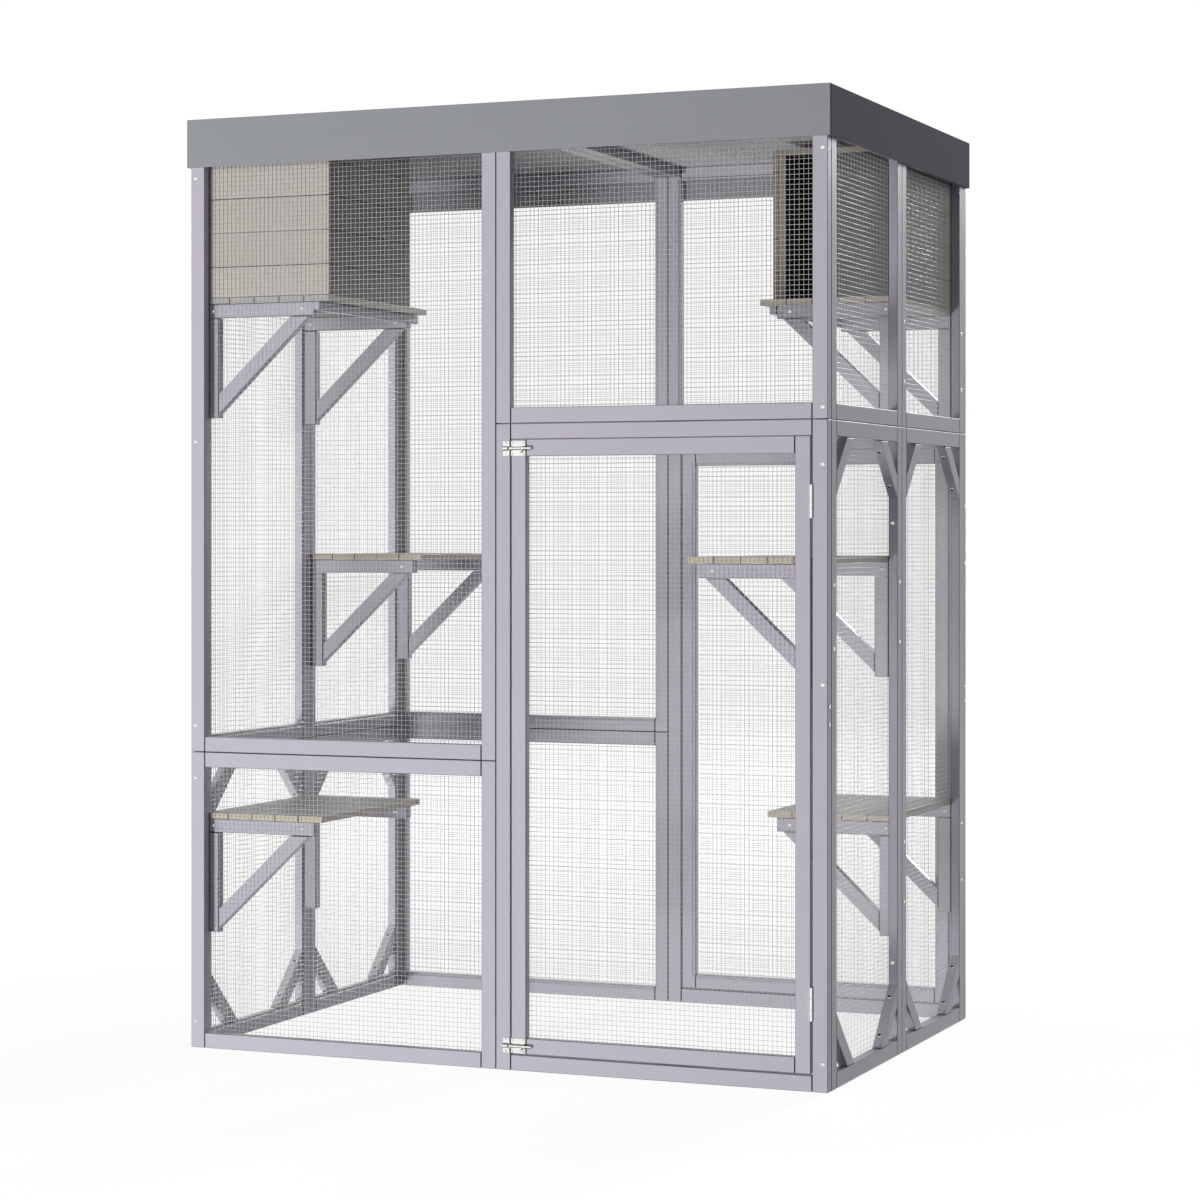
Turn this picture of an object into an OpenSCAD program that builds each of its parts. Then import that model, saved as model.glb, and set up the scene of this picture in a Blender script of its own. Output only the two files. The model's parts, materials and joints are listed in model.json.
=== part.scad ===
// Outdoor cat enclosure of framed net panels, with six shelves, two nest boxes and two doors.
// Origin at the middle of the base. X runs to the right, Y to the back and Z up.

/* [Wall panels] */
// Width of each front and back panel
front_panel_w = 649; // [620:1:720]
// Width of each side panel
side_panel_w = 435.5; // [410:0.5:520]
// Height of the short panels
short_h = 574; // [540:1:640]
// Height of the tall panels, which also hold the doors
tall_h = 1202; // [1180:1:1260]
// Face width of the frame strips
strip_w = 30; // [26:1:36]
// Thickness of the frame strips
strip_t = 20; // [17:0.5:26]
// Gap left at the butt joints between strips and between boards
joint = 0.2; // [0.1:0.05:0.5]
// Leg of a corner brace along the strips
brace_leg = 106; // [80:1:140]

/* [Net] */
// Thickness of the net sheet
net_t = 2; // [1.5:0.1:3]
// Lap of the net over the frame strips
net_lap = 6; // [4:0.5:10]
// Width of the bars between the gaps
net_bar = 3; // [2:0.5:6]
// Distance between the bars
net_pitch = 120; // [100:5:180]

/* [Shelves] */
// Height of the top of the lowest shelves
first_shelf_z = 455; // [420:1:500]
// Rise from one shelf to the next
shelf_rise = 500; // [470:1:510]
// Thickness of the shelf boards
board_t = 12; // [9:0.5:18]
// Reach of the low and middle shelves from the wall
shelf_reach = 255; // [245:1:300]
// Reach of the high shelves, which carry the nest boxes
high_shelf_reach = 270; // [262:1:320]
// Boards side by side in one shelf
boards_per_shelf = 5; // [3:1:7]
// Gap between a shelf and the middle of the wall
shelf_end_gap = 2.5; // [1:0.5:8]

/* [Shelf brackets] */
// Width of the bracket strips
bracket_w = 27; // [20:1:34]
// Thickness of the bracket strips
bracket_t = 20; // [14:1:26]
// Drop of the bracket below its shelf
bracket_drop = 221; // [180:1:260]
// Reach of the bracket arm from the wall
bracket_reach = 236; // [200:1:244]
// Distance from the end of the leg to the diagonal
bracket_toe = 9; // [4:1:20]
// Distance from the end of the arm to the diagonal
bracket_nose = 13; // [6:1:24]
// Distance of a bracket from the end of its wall panel
bracket_inset = 5; // [2:0.5:10]
// Width of the batten under the free edge of a high shelf
batten_w = 14; // [10:1:18]
// Height of the batten
batten_h = 18; // [12:1:26]

/* [Nest boxes] */
// Length of a nest box along the wall
nest_l = 353; // [300:1:400]
// Thickness of its wall boards and top
nest_board_t = 12; // [9:0.5:16]
// Face width of its wall boards
nest_board_w = 66; // [50:1:80]
// Visible width of its lowest wall board
nest_low_board_w = 59; // [40:1:66]
// Side of its corner posts
nest_post = 15; // [12:1:20]
// Air between a nest box and the roof
nest_head_gap = 20; // [12:1:40]

/* [Roof] */
// Thickness of the roof decks
deck_t = 21; // [15:1:28]
// Thickness of the roofing felt
felt_t = 3; // [2:0.5:5]
// Height of the fascia boards
fascia_h = 93; // [70:1:120]
// Thickness of the fascia boards
fascia_t = 6; // [4:0.5:12]

/* [Doors] */
// Gap round a door on its three free sides
door_gap = 1.5; // [1:0.1:2.5]
// Gap on the hinge side
hinge_gap = 2.5; // [2.4:0.1:3.5]
// Length of a hinge
hinge_l = 60; // [45:1:80]
// Width of a hinge leaf
leaf_w = 15; // [10:0.5:16]
// Thickness of a hinge leaf
leaf_t = 1; // [0.8:0.05:1.1]
// Outer diameter of the hinge knuckles
knuckle_d = 5.4; // [4.8:0.1:6]
// Diameter of the hinge pins
pin_d = 2.6; // [2:0.1:3]
// Distance from the top of the doorway to the middle of the upper hinge
upper_hinge_z = 117; // [90:1:200]
// Distance from the bottom of the doorway to the middle of the lower hinge
lower_hinge_z = 127; // [90:1:200]

/* [Bolts] */
// Length of the bolt plate
bolt_plate_l = 29; // [28:1:36]
// Height of the bolt plate and of the keeper plate
bolt_plate_h = 28; // [22:1:29]
// Thickness of the plates
bolt_plate_t = 1.2; // [0.8:0.1:2]
// Length of the keeper plate
keeper_l = 13; // [10:1:20]
// Diameter of the sliding rod
rod_d = 6; // [5:0.5:7]
// Travel of the rod
bolt_travel = 13; // [8:1:13]
// Wall of the guide straps
strap_t = 1; // [0.8:0.1:1.5]
// Width of a guide strap along the rod
strap_w = 4.5; // [3:0.5:5]
// Diameter of the knob
knob_d = 5; // [4:0.5:6]
// Diameter of the stem between the rod and the knob
stem_d = 3; // [2:0.5:4]
// Distance from the rod's axis down to the knob
knob_drop = 7.25; // [6:0.25:10]
// Distance from the keeper plate to the inner edge of its strip
keeper_inset = 2; // [1:0.5:4]

/* [Screws] */
// Diameter of the screw heads
screw_d = 7.5; // [5:0.5:9]
// Height of the screw heads
screw_h = 1.2; // [0.8:0.1:2]
// Diameter of the small screws in the bolts
small_screw_d = 3.6; // [3:0.1:4.5]
// Distance from a small screw to the edge of its plate
small_screw_edge = 3; // [2.5:0.1:4]
// Distance from a rail's outer edge to the screws that hold the corners
corner_screw_inset = 51; // [40:1:80]

/* [Fits] */
// Radial clearance of the hinge pins and the bolt rods
running_fit = 0.05; // [0.03:0.01:0.1]
// Clearance between moving faces
face_fit = 0.3; // [0.2:0.05:0.5]
// Clearance of the net in its rebate
net_fit = 0.5; // [0.2:0.1:1]

/* [Hidden] */
$fn = 32;
wall_d = side_panel_w + strip_t;
wall_w = front_panel_w;
frame_h = short_h + tall_h;
door_z = strip_w + door_gap;
door_h = tall_h - 2 * door_z;
door_x = strip_w + door_gap;
door_w = front_panel_w - 2 * strip_w - door_gap - hinge_gap;
hinge_x = front_panel_w - strip_w - hinge_gap / 2;
hinge_y = -knuckle_d / 2;
knuckle_l = hinge_l / 3;
hinge_heights = [tall_h - strip_w - upper_hinge_z, strip_w + lower_hinge_z];
bolt_heights = [tall_h - door_z - strip_w / 2, door_z + strip_w / 2];
rod_y = -(bolt_plate_t + face_fit + rod_d / 2);
guide_r = rod_d / 2 + running_fit;
rear_strap_x = door_x + bolt_plate_l - strap_w;
knob_x = rear_strap_x - knob_d / 2 - face_fit;
rod_x0 = door_x + face_fit;
rod_x1 = door_x + bolt_plate_l + bolt_travel;
keeper_x = strip_w - keeper_inset - keeper_l;
keeper_strap_inset = 1;
shelf_l = side_panel_w - shelf_end_gap;
high_shelf_z = first_shelf_z + 2 * shelf_rise;
nest_h = frame_h - nest_head_gap - high_shelf_z;
nest_wall_h = nest_h - nest_board_t;
arm_z = -board_t - bracket_w;
overshoot = 1;
upper_leg_screw_drop = 50;
lower_leg_screw_rise = 56;
leg_screw_drops = [upper_leg_screw_drop, bracket_drop - lower_leg_screw_rise];
middle_screw_share = 0.605;
top_screw_z = frame_h - corner_screw_inset - strip_w - bracket_toe;
left_corner_screws = [
    corner_screw_inset, short_h - corner_screw_inset,
    short_h + corner_screw_inset, short_h + tall_h / 2, top_screw_z];
right_corner_screws = [
    corner_screw_inset, tall_h * middle_screw_share, tall_h - corner_screw_inset - strip_w,
    tall_h + strip_w - bracket_toe, top_screw_z];
front_edge_screws = [656, 688];
back_edge_screws = [655, 684, 937, 1052];
middle_screw_heights = [177, 1017];
brace_screw_share = 0.2;
paint = [0.745, 0.725, 0.765];
wire = [0.80, 0.80, 0.78];
board_grey = [0.56, 0.55, 0.53];
deck_grey = [0.84, 0.84, 0.84];
nest_tan = [0.74, 0.70, 0.64];
roof_grey = [0.60, 0.61, 0.63];
nickel = [0.90, 0.90, 0.88];

// Places: local X runs along the wall, Y from its outer face inwards, Z up

module on_front(side) {
    translate([side < 0 ? -wall_w : 0, -wall_d, 0]) children();
}

module on_back(side) {
    translate([side < 0 ? 0 : wall_w, wall_d, 0]) rotate(180) children();
}

module on_left(half) {
    translate([-wall_w, half < 0 ? 0 : side_panel_w, 0]) rotate(-90) children();
}

module on_right(half) {
    translate([wall_w, half < 0 ? -side_panel_w : 0, 0]) rotate(90) children();
}

module turned_round() {
    rotate(180) children();
}

// Shapes shared by several pieces

module strips(w, h) {
    for (x = [0, w - strip_w]) translate([x, 0, 0]) cube([strip_w, strip_t, h]);
    for (z = [0, h - strip_w])
        translate([strip_w + joint, 0, z])
            cube([w - 2 * (strip_w + joint), strip_t, strip_w]);
}

module net_panel(w, h) {
    // two stiles and two rails, with a rebate for the net along their inner edges
    difference() {
        strips(w, h);
        translate([strip_w - net_lap, strip_t - net_t, strip_w - net_lap])
            cube([w - 2 * (strip_w - net_lap), net_t + overshoot, h - 2 * (strip_w - net_lap)]);
    }
}

module net_sheet(w, h) {
    open_w = w - 2 * strip_w;
    open_h = h - 2 * strip_w;
    lap = net_lap - net_fit;
    across = round(open_w / net_pitch);
    up = round(open_h / net_pitch);
    step_x = open_w / across;
    step_z = open_h / up;
    translate([strip_w, strip_t, strip_w]) rotate([90, 0, 0]) linear_extrude(net_t)
        difference() {
            translate([-lap, -lap]) square([open_w + 2 * lap, open_h + 2 * lap]);
            for (i = [0 : across - 1], k = [0 : up - 1])
                translate([i * step_x + net_bar / 2, k * step_z + net_bar / 2])
                    square([step_x - net_bar, step_z - net_bar]);
        }
}

module corner_brace() {
    inner = brace_leg - strip_w * sqrt(2);
    translate([0, strip_t - net_t, 0]) rotate([90, 0, 0]) linear_extrude(strip_t - net_t)
        polygon([[0, brace_leg], [0, inner], [inner, 0], [brace_leg, 0]]);
}

module brace_screws() {
    for (along = [brace_leg * brace_screw_share, brace_leg * (1 - brace_screw_share)])
        translate([along, strip_t / 2, brace_leg - along]) rotate([0, 45, 0])
            cylinder(d = screw_d, h = screw_h);
}

module in_panel_corners(w, h) {
    translate([strip_w, 0, strip_w]) children();
    translate([w - strip_w, 0, strip_w]) mirror([1, 0, 0]) children();
    translate([strip_w, 0, h - strip_w]) mirror([0, 0, 1]) children();
    translate([w - strip_w, 0, h - strip_w]) mirror([0, 0, 1]) mirror([1, 0, 0]) children();
}

module screw_head(d = screw_d) {
    // stands out of the outer face of a wall
    rotate([90, 0, 0]) cylinder(d = d, h = screw_h);
}

module shelf(top_z, reach, half) {
    // local X runs from the wall's inner face into the room, half picks its side of the middle
    step = reach / boards_per_shelf;
    y0 = half < 0 ? -side_panel_w : shelf_end_gap;
    for (i = [0 : boards_per_shelf - 1])
        translate([i * step, y0, top_z - board_t]) cube([step - joint, shelf_l, board_t]);
}

module bracket(top_z, braced) {
    // arm under the shelf, leg on the wall strip, and the diagonal between them
    near = bracket_w + joint;
    high = arm_z - joint;
    low = -board_t - bracket_drop + bracket_toe;
    out = bracket_reach - bracket_nose;
    slope_l = sqrt(pow(out - near, 2) + pow(high - low, 2));
    translate([0, 0, top_z]) {
        translate([0, 0, arm_z]) cube([bracket_reach, bracket_t, bracket_w]);
        translate([0, 0, -board_t - bracket_drop])
            cube([bracket_w, bracket_t, bracket_drop - bracket_w - joint]);
        if (braced)
            translate([0, bracket_t, 0]) rotate([90, 0, 0]) linear_extrude(bracket_t)
                polygon([
                    [near, low], [out, high],
                    [out - bracket_w * slope_l / (high - low), high],
                    [near, low + bracket_w * slope_l / (out - near)]]);
    }
}

module bracket_pair(top_z, half, second_braced = true) {
    y0 = half < 0 ? -side_panel_w + bracket_inset : bracket_inset;
    y1 = y0 + side_panel_w - 2 * bracket_inset - bracket_t;
    translate([0, y0, 0]) bracket(top_z, true);
    translate([0, y1, 0]) bracket(top_z, second_braced);
}

module side_brackets(all_braced) {
    // the low and high shelves stand in the front half, the middle one in the back half
    translate([strip_t - wall_w, 0, 0]) {
        bracket_pair(first_shelf_z, -1, all_braced);
        bracket_pair(first_shelf_z + shelf_rise, 1);
        bracket_pair(high_shelf_z, -1);
        translate([bracket_reach + joint, -side_panel_w, high_shelf_z - board_t - batten_h])
            cube([batten_w, shelf_l, batten_h]);
    }
}

module nest_wall(l, h = nest_wall_h) {
    // boards laid one over the other, local X along the wall
    count = ceil((h - nest_low_board_w) / nest_board_w);
    cube([l, nest_board_t, nest_low_board_w - joint]);
    for (i = [0 : count - 1]) {
        z = nest_low_board_w + i * nest_board_w;
        translate([0, 0, z])
            cube([l, nest_board_t, i < count - 1 ? nest_board_w - joint : h - z]);
    }
}

module nest_place() {
    translate([strip_t - wall_w, -side_panel_w, high_shelf_z]) children();
}

module nest_walls() {
    nest_place() {
        nest_wall(high_shelf_reach);
        for (x = [nest_board_t, high_shelf_reach])
            translate([x, nest_board_t + joint, 0]) rotate(90)
                nest_wall(nest_l - nest_board_t - joint);
    }
}

module nest_posts() {
    far = high_shelf_reach - nest_board_t - nest_post;
    nest_place()
        for (x = [nest_board_t, far], y = [nest_board_t, nest_l - nest_post])
            translate([x, y, 0]) cube([nest_post, nest_post, nest_wall_h]);
}

module nest_top() {
    nest_place() translate([0, 0, nest_wall_h]) cube([high_shelf_reach, nest_l, nest_board_t]);
}

module roof_deck(side) {
    translate([side < 0 ? -wall_w : 0, -wall_d, frame_h]) cube([wall_w, 2 * wall_d, deck_t]);
}

module door_frame() {
    translate([door_x, 0, door_z]) net_panel(door_w, door_h);
}

module door_net() {
    translate([door_x, 0, door_z]) net_sheet(door_w, door_h);
}

// Hinges: the axis runs up the middle of the gap, outside the faces

module knuckle(z0, h) {
    translate([0, 0, z0]) cylinder(d = knuckle_d, h = h);
}

module pin_bore() {
    translate([0, 0, -overshoot])
        cylinder(r = pin_d / 2 + running_fit, h = hinge_l + 2 * overshoot);
}

module hinge_leaf(side) {
    x0 = side < 0 ? -hinge_gap / 2 : hinge_gap / 2 - leaf_t;
    translate([x0, knuckle_d / 2 + face_fit, 0]) cube([leaf_t, leaf_w, hinge_l]);
}

module leaf_web(side, z0, h) {
    x0 = side < 0 ? -hinge_gap / 2 : hinge_gap / 2 - leaf_t;
    translate([x0, 0, z0]) cube([leaf_t, knuckle_d / 2 + face_fit, h]);
}

module post_leaf() {
    difference() {
        union() {
            hinge_leaf(1);
            for (z = [0, hinge_l - knuckle_l + face_fit]) {
                knuckle(z, knuckle_l - face_fit);
                leaf_web(1, z, knuckle_l - face_fit);
            }
        }
        pin_bore();
    }
}

module door_leaf() {
    difference() {
        union() {
            hinge_leaf(-1);
            knuckle(knuckle_l, knuckle_l);
            leaf_web(-1, knuckle_l, knuckle_l);
        }
        pin_bore();
    }
}

module at_hinges() {
    for (z = hinge_heights) translate([hinge_x, hinge_y, z - hinge_l / 2]) children();
}

// Bolts: local X runs along the wall from the keeper to the plate

module strap(x0, w) {
    difference() {
        translate([x0, 0, 0]) {
            translate([0, rod_y, 0]) rotate([0, 90, 0]) cylinder(r = guide_r + strap_t, h = w);
            translate([0, rod_y, -guide_r - strap_t])
                cube([w, -rod_y - bolt_plate_t, 2 * (guide_r + strap_t)]);
        }
        translate([x0 - overshoot, rod_y, 0]) rotate([0, 90, 0])
            cylinder(r = guide_r, h = w + 2 * overshoot);
    }
}

module bolt_plate() {
    translate([door_x, -bolt_plate_t, -bolt_plate_h / 2])
        cube([bolt_plate_l, bolt_plate_t, bolt_plate_h]);
    for (x = [door_x, rear_strap_x]) strap(x, strap_w);
}

module keeper() {
    translate([keeper_x, -bolt_plate_t, -bolt_plate_h / 2])
        cube([keeper_l, bolt_plate_t, bolt_plate_h]);
    strap(keeper_x + keeper_strap_inset, keeper_l - 2 * keeper_strap_inset);
}

module bolt_rod() {
    translate([rod_x0, rod_y, 0]) rotate([0, 90, 0]) cylinder(d = rod_d, h = rod_x1 - rod_x0);
    translate([knob_x, rod_y, -knob_drop]) {
        cylinder(d = stem_d, h = knob_drop);
        sphere(d = knob_d);
    }
}

module at_bolts() {
    for (z = bolt_heights) translate([0, 0, z]) children();
}

module small_screws(xs) {
    // one above and one below the rod at each place along it
    for (x = xs, k = [-1, 1])
        translate([x, -bolt_plate_t, k * (bolt_plate_h / 2 - small_screw_edge)])
            screw_head(small_screw_d);
}

module plate_screws() {
    small_screws([door_x + small_screw_edge, door_x + bolt_plate_l - small_screw_edge]);
}

module keeper_screws() {
    small_screws([keeper_x + keeper_l / 2]);
}

module leg_screws() {
    // through the strips of the left wall into the legs of the brackets
    middle = bracket_inset + bracket_t / 2;
    for (level = [0 : 2], drop = leg_screw_drops, x = [middle, side_panel_w - middle])
        on_left(level == 1 ? 1 : -1)
            translate([x, 0, first_shelf_z + level * shelf_rise - drop]) screw_head();
}

module arm_screws(half) {
    // in the front faces of the bracket arms, half is that of the low and high shelves
    for (level = [0 : 2]) {
        y0 = (level == 1 ? -half : half) < 0 ? -side_panel_w : 0;
        z = first_shelf_z + level * shelf_rise + arm_z + bracket_w / 2;
        for (x = [bracket_w / 2, bracket_reach - bracket_w])
            for (y = [bracket_inset, side_panel_w - bracket_inset - bracket_t])
                translate([strip_t - wall_w + x, y0 + y, z]) screw_head();
    }
}

module edge_screws() {
    // in the edges of the front and back panels, on the right wall
    on_right(-1) for (z = front_edge_screws) translate([-strip_t / 2, 0, z]) screw_head();
    on_right(1) for (z = back_edge_screws)
        translate([side_panel_w + strip_t / 2, 0, z]) screw_head();
}

module middle_screws() {
    // through the stiles that meet in the middle of the right wall
    for (z = middle_screw_heights)
        translate([wall_w - strip_t / 2, -strip_w, z]) screw_head();
}

module corner_screws() {
    for (z = left_corner_screws) translate([strip_t / 2, 0, z]) screw_head();
    for (z = right_corner_screws) translate([2 * wall_w - strip_t / 2, 0, z]) screw_head();
}

// Sub-parts

module front_left_lower_panel() { color(paint) on_front(-1) net_panel(wall_w, short_h); }
module front_left_upper_panel() {
    color(paint) translate([0, 0, short_h]) on_front(-1) net_panel(wall_w, tall_h);
}
module front_right_lower_panel() { color(paint) on_front(1) strips(wall_w, tall_h); }
module front_right_upper_panel() {
    color(paint) translate([0, 0, tall_h]) on_front(1) net_panel(wall_w, short_h);
}
module back_left_lower_panel() { color(paint) on_back(-1) net_panel(wall_w, short_h); }
module back_left_upper_panel() {
    color(paint) translate([0, 0, short_h]) on_back(-1) net_panel(wall_w, tall_h);
}
module back_right_lower_panel() { color(paint) on_back(1) strips(wall_w, tall_h); }
module back_right_upper_panel() {
    color(paint) translate([0, 0, tall_h]) on_back(1) net_panel(wall_w, short_h);
}
module left_front_lower_panel() { color(paint) on_left(-1) net_panel(side_panel_w, short_h); }
module left_front_upper_panel() {
    color(paint) translate([0, 0, short_h]) on_left(-1) net_panel(side_panel_w, tall_h);
}
module left_back_lower_panel() { color(paint) on_left(1) net_panel(side_panel_w, short_h); }
module left_back_upper_panel() {
    color(paint) translate([0, 0, short_h]) on_left(1) net_panel(side_panel_w, tall_h);
}
module right_front_lower_panel() { color(paint) on_right(-1) net_panel(side_panel_w, tall_h); }
module right_front_upper_panel() {
    color(paint) translate([0, 0, tall_h]) on_right(-1) net_panel(side_panel_w, short_h);
}
module right_back_lower_panel() { color(paint) on_right(1) net_panel(side_panel_w, tall_h); }
module right_back_upper_panel() {
    color(paint) translate([0, 0, tall_h]) on_right(1) net_panel(side_panel_w, short_h);
}

module left_corner_braces() {
    color(paint) for (half = [-1, 1]) on_left(half) in_panel_corners(side_panel_w, short_h)
        corner_brace();
}
module right_corner_braces() {
    color(paint) for (half = [-1, 1]) on_right(half) in_panel_corners(side_panel_w, tall_h)
        corner_brace();
}

module front_nets() {
    color(wire) {
        on_front(-1) net_sheet(wall_w, short_h);
        translate([0, 0, short_h]) on_front(-1) net_sheet(wall_w, tall_h);
        translate([0, 0, tall_h]) on_front(1) net_sheet(wall_w, short_h);
    }
}
module back_nets() {
    color(wire) {
        on_back(-1) net_sheet(wall_w, short_h);
        translate([0, 0, short_h]) on_back(-1) net_sheet(wall_w, tall_h);
        translate([0, 0, tall_h]) on_back(1) net_sheet(wall_w, short_h);
    }
}
module left_nets() {
    color(wire) for (half = [-1, 1]) {
        on_left(half) net_sheet(side_panel_w, short_h);
        translate([0, 0, short_h]) on_left(half) net_sheet(side_panel_w, tall_h);
    }
}
module right_nets() {
    color(wire) for (half = [-1, 1]) {
        on_right(half) net_sheet(side_panel_w, tall_h);
        translate([0, 0, tall_h]) on_right(half) net_sheet(side_panel_w, short_h);
    }
}

module left_shelf(level, reach, half) {
    color(board_grey) translate([strip_t - wall_w, 0, 0])
        shelf(first_shelf_z + level * shelf_rise, reach, half);
}
module left_low_shelf() { left_shelf(0, shelf_reach, -1); }
module left_middle_shelf() { left_shelf(1, shelf_reach, 1); }
module left_high_shelf() { left_shelf(2, high_shelf_reach, -1); }
module right_low_shelf() { turned_round() left_low_shelf(); }
module right_middle_shelf() { turned_round() left_middle_shelf(); }
module right_high_shelf() { turned_round() left_high_shelf(); }

module left_brackets() {
    // one bracket of the low shelf has no diagonal on this side
    color(paint) side_brackets(false);
}
module right_brackets() { color(paint) turned_round() side_brackets(true); }

module left_nest_walls() { color(nest_tan) nest_walls(); }
module left_nest_posts() { color(nest_tan) nest_posts(); }
module left_nest_top() { color(nest_tan) nest_top(); }
module right_nest_walls() { color(nest_tan) turned_round() nest_walls(); }
module right_nest_posts() { color(nest_tan) turned_round() nest_posts(); }
module right_nest_top() { color(nest_tan) turned_round() nest_top(); }

module left_roof_deck() { color(deck_grey) roof_deck(-1); }
module right_roof_deck() { color(deck_grey) roof_deck(1); }
module roof_beams() {
    color(paint) for (x = [-strip_w - joint / 2, joint / 2])
        translate([x, strip_t - wall_d, frame_h - strip_t])
            cube([strip_w, 2 * side_panel_w, strip_t]);
}
module roof_felt() {
    color(roof_grey) for (x = [-wall_w, joint / 2])
        translate([x, -wall_d, frame_h + deck_t]) cube([wall_w - joint / 2, 2 * wall_d, felt_t]);
}
module fascia() {
    z0 = frame_h + deck_t + felt_t - fascia_h;
    color(roof_grey) {
        for (y = [-wall_d - fascia_t, wall_d])
            translate([-wall_w - fascia_t, y, z0])
                cube([2 * (wall_w + fascia_t), fascia_t, fascia_h]);
        for (x = [-wall_w - fascia_t, wall_w])
            translate([x, joint - wall_d, z0]) cube([fascia_t, 2 * (wall_d - joint), fascia_h]);
    }
}

module front_door_frame() { color(paint) on_front(1) door_frame(); }
module front_door_net() { color(wire) on_front(1) door_net(); }
module back_door_frame() { color(paint) on_back(1) door_frame(); }
module back_door_net() { color(wire) on_back(1) door_net(); }

module hinge_post_leaves() {
    color(nickel) {
        on_front(1) at_hinges() post_leaf();
        on_back(1) at_hinges() post_leaf();
    }
}
module hinge_pins() {
    color(nickel) {
        on_front(1) at_hinges() cylinder(d = pin_d, h = hinge_l);
        on_back(1) at_hinges() cylinder(d = pin_d, h = hinge_l);
    }
}
module front_hinge_door_leaves() { color(nickel) on_front(1) at_hinges() door_leaf(); }
module back_hinge_door_leaves() { color(nickel) on_back(1) at_hinges() door_leaf(); }

module bolt_keepers() {
    color(nickel) {
        on_front(1) at_bolts() keeper();
        on_back(1) at_bolts() keeper();
    }
}
module front_bolt_plates() { color(nickel) on_front(1) at_bolts() bolt_plate(); }
module back_bolt_plates() { color(nickel) on_back(1) at_bolts() bolt_plate(); }
module front_top_bolt() { color(nickel) on_front(1) translate([0, 0, bolt_heights[0]]) bolt_rod(); }
module front_bottom_bolt() {
    color(nickel) on_front(1) translate([0, 0, bolt_heights[1]]) bolt_rod();
}
module back_top_bolt() { color(nickel) on_back(1) translate([0, 0, bolt_heights[0]]) bolt_rod(); }
module back_bottom_bolt() {
    color(nickel) on_back(1) translate([0, 0, bolt_heights[1]]) bolt_rod();
}

module frame_screws() {
    color(nickel) {
        on_front(-1) corner_screws();
        mirror([0, 1, 0]) on_front(-1) corner_screws();
        arm_screws(-1);
        mirror([1, 0, 0]) arm_screws(1);
        for (half = [-1, 1]) {
            on_left(half) in_panel_corners(side_panel_w, short_h) brace_screws();
            on_right(half) in_panel_corners(side_panel_w, tall_h) brace_screws();
        }
        for (turn = [0, 180]) rotate(turn) {
            leg_screws();
            edge_screws();
            middle_screws();
        }
        on_front(1) at_bolts() keeper_screws();
        on_back(1) at_bolts() keeper_screws();
    }
}
module front_door_screws() { color(nickel) on_front(1) at_bolts() plate_screws(); }
module back_door_screws() { color(nickel) on_back(1) at_bolts() plate_screws(); }

front_left_lower_panel();
front_left_upper_panel();
front_right_lower_panel();
front_right_upper_panel();
back_left_lower_panel();
back_left_upper_panel();
back_right_lower_panel();
back_right_upper_panel();
left_front_lower_panel();
left_front_upper_panel();
left_back_lower_panel();
left_back_upper_panel();
right_front_lower_panel();
right_front_upper_panel();
right_back_lower_panel();
right_back_upper_panel();
left_corner_braces();
right_corner_braces();
front_nets();
back_nets();
left_nets();
right_nets();
left_low_shelf();
left_middle_shelf();
left_high_shelf();
right_low_shelf();
right_middle_shelf();
right_high_shelf();
left_brackets();
right_brackets();
left_nest_walls();
left_nest_posts();
left_nest_top();
right_nest_walls();
right_nest_posts();
right_nest_top();
left_roof_deck();
right_roof_deck();
roof_beams();
roof_felt();
fascia();
front_door_frame();
front_door_net();
back_door_frame();
back_door_net();
hinge_post_leaves();
hinge_pins();
front_hinge_door_leaves();
back_hinge_door_leaves();
bolt_keepers();
front_bolt_plates();
back_bolt_plates();
front_top_bolt();
front_bottom_bolt();
back_top_bolt();
back_bottom_bolt();
frame_screws();
front_door_screws();
back_door_screws();
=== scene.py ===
"""The looks of a catio: painted frames, wire nets, shelves, nest boxes, a flat roof and hardware."""

import functools
import json
import math
import random

import bmesh
import bpy
from bpy.props import FloatProperty, FloatVectorProperty, IntProperty, PointerProperty
from mathutils import Matrix, Vector
from mathutils.bvhtree import BVHTree


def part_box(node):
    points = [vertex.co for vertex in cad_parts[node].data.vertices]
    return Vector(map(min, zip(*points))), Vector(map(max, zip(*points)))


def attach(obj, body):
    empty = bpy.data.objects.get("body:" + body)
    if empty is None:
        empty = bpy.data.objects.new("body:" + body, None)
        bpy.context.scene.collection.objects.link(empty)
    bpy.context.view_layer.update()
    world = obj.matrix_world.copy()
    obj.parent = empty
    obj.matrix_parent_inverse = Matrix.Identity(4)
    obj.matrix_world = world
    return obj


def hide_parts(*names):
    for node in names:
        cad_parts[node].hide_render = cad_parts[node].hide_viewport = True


bl_info = {
    "name": "Catio",
    "version": (1, 0, 0),
    "blender": (4, 5, 0),
    "location": "View3D > Sidebar > Catio",
    "description": "Dresses the frames, nets, shelves, nest boxes, roof and hardware of a catio",
    "category": "Object",
}

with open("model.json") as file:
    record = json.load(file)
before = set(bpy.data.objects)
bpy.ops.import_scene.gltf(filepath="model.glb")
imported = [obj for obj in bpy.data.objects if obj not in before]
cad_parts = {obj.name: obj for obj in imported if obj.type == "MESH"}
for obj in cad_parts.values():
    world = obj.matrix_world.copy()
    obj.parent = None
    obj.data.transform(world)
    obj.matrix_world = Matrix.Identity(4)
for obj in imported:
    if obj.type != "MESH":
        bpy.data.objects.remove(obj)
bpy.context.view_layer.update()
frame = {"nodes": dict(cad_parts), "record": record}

MM = 0.001
SIDES = ("left", "right")
ENDS = ("front", "back")
LEVELS = ("low", "middle", "high")
WALL_PANELS = [
    f"{wall}_{half}_{row}_panel"
    for wall in ENDS + SIDES
    for half in (SIDES if wall in ENDS else ENDS)
    for row in ("lower", "upper")
]

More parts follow.
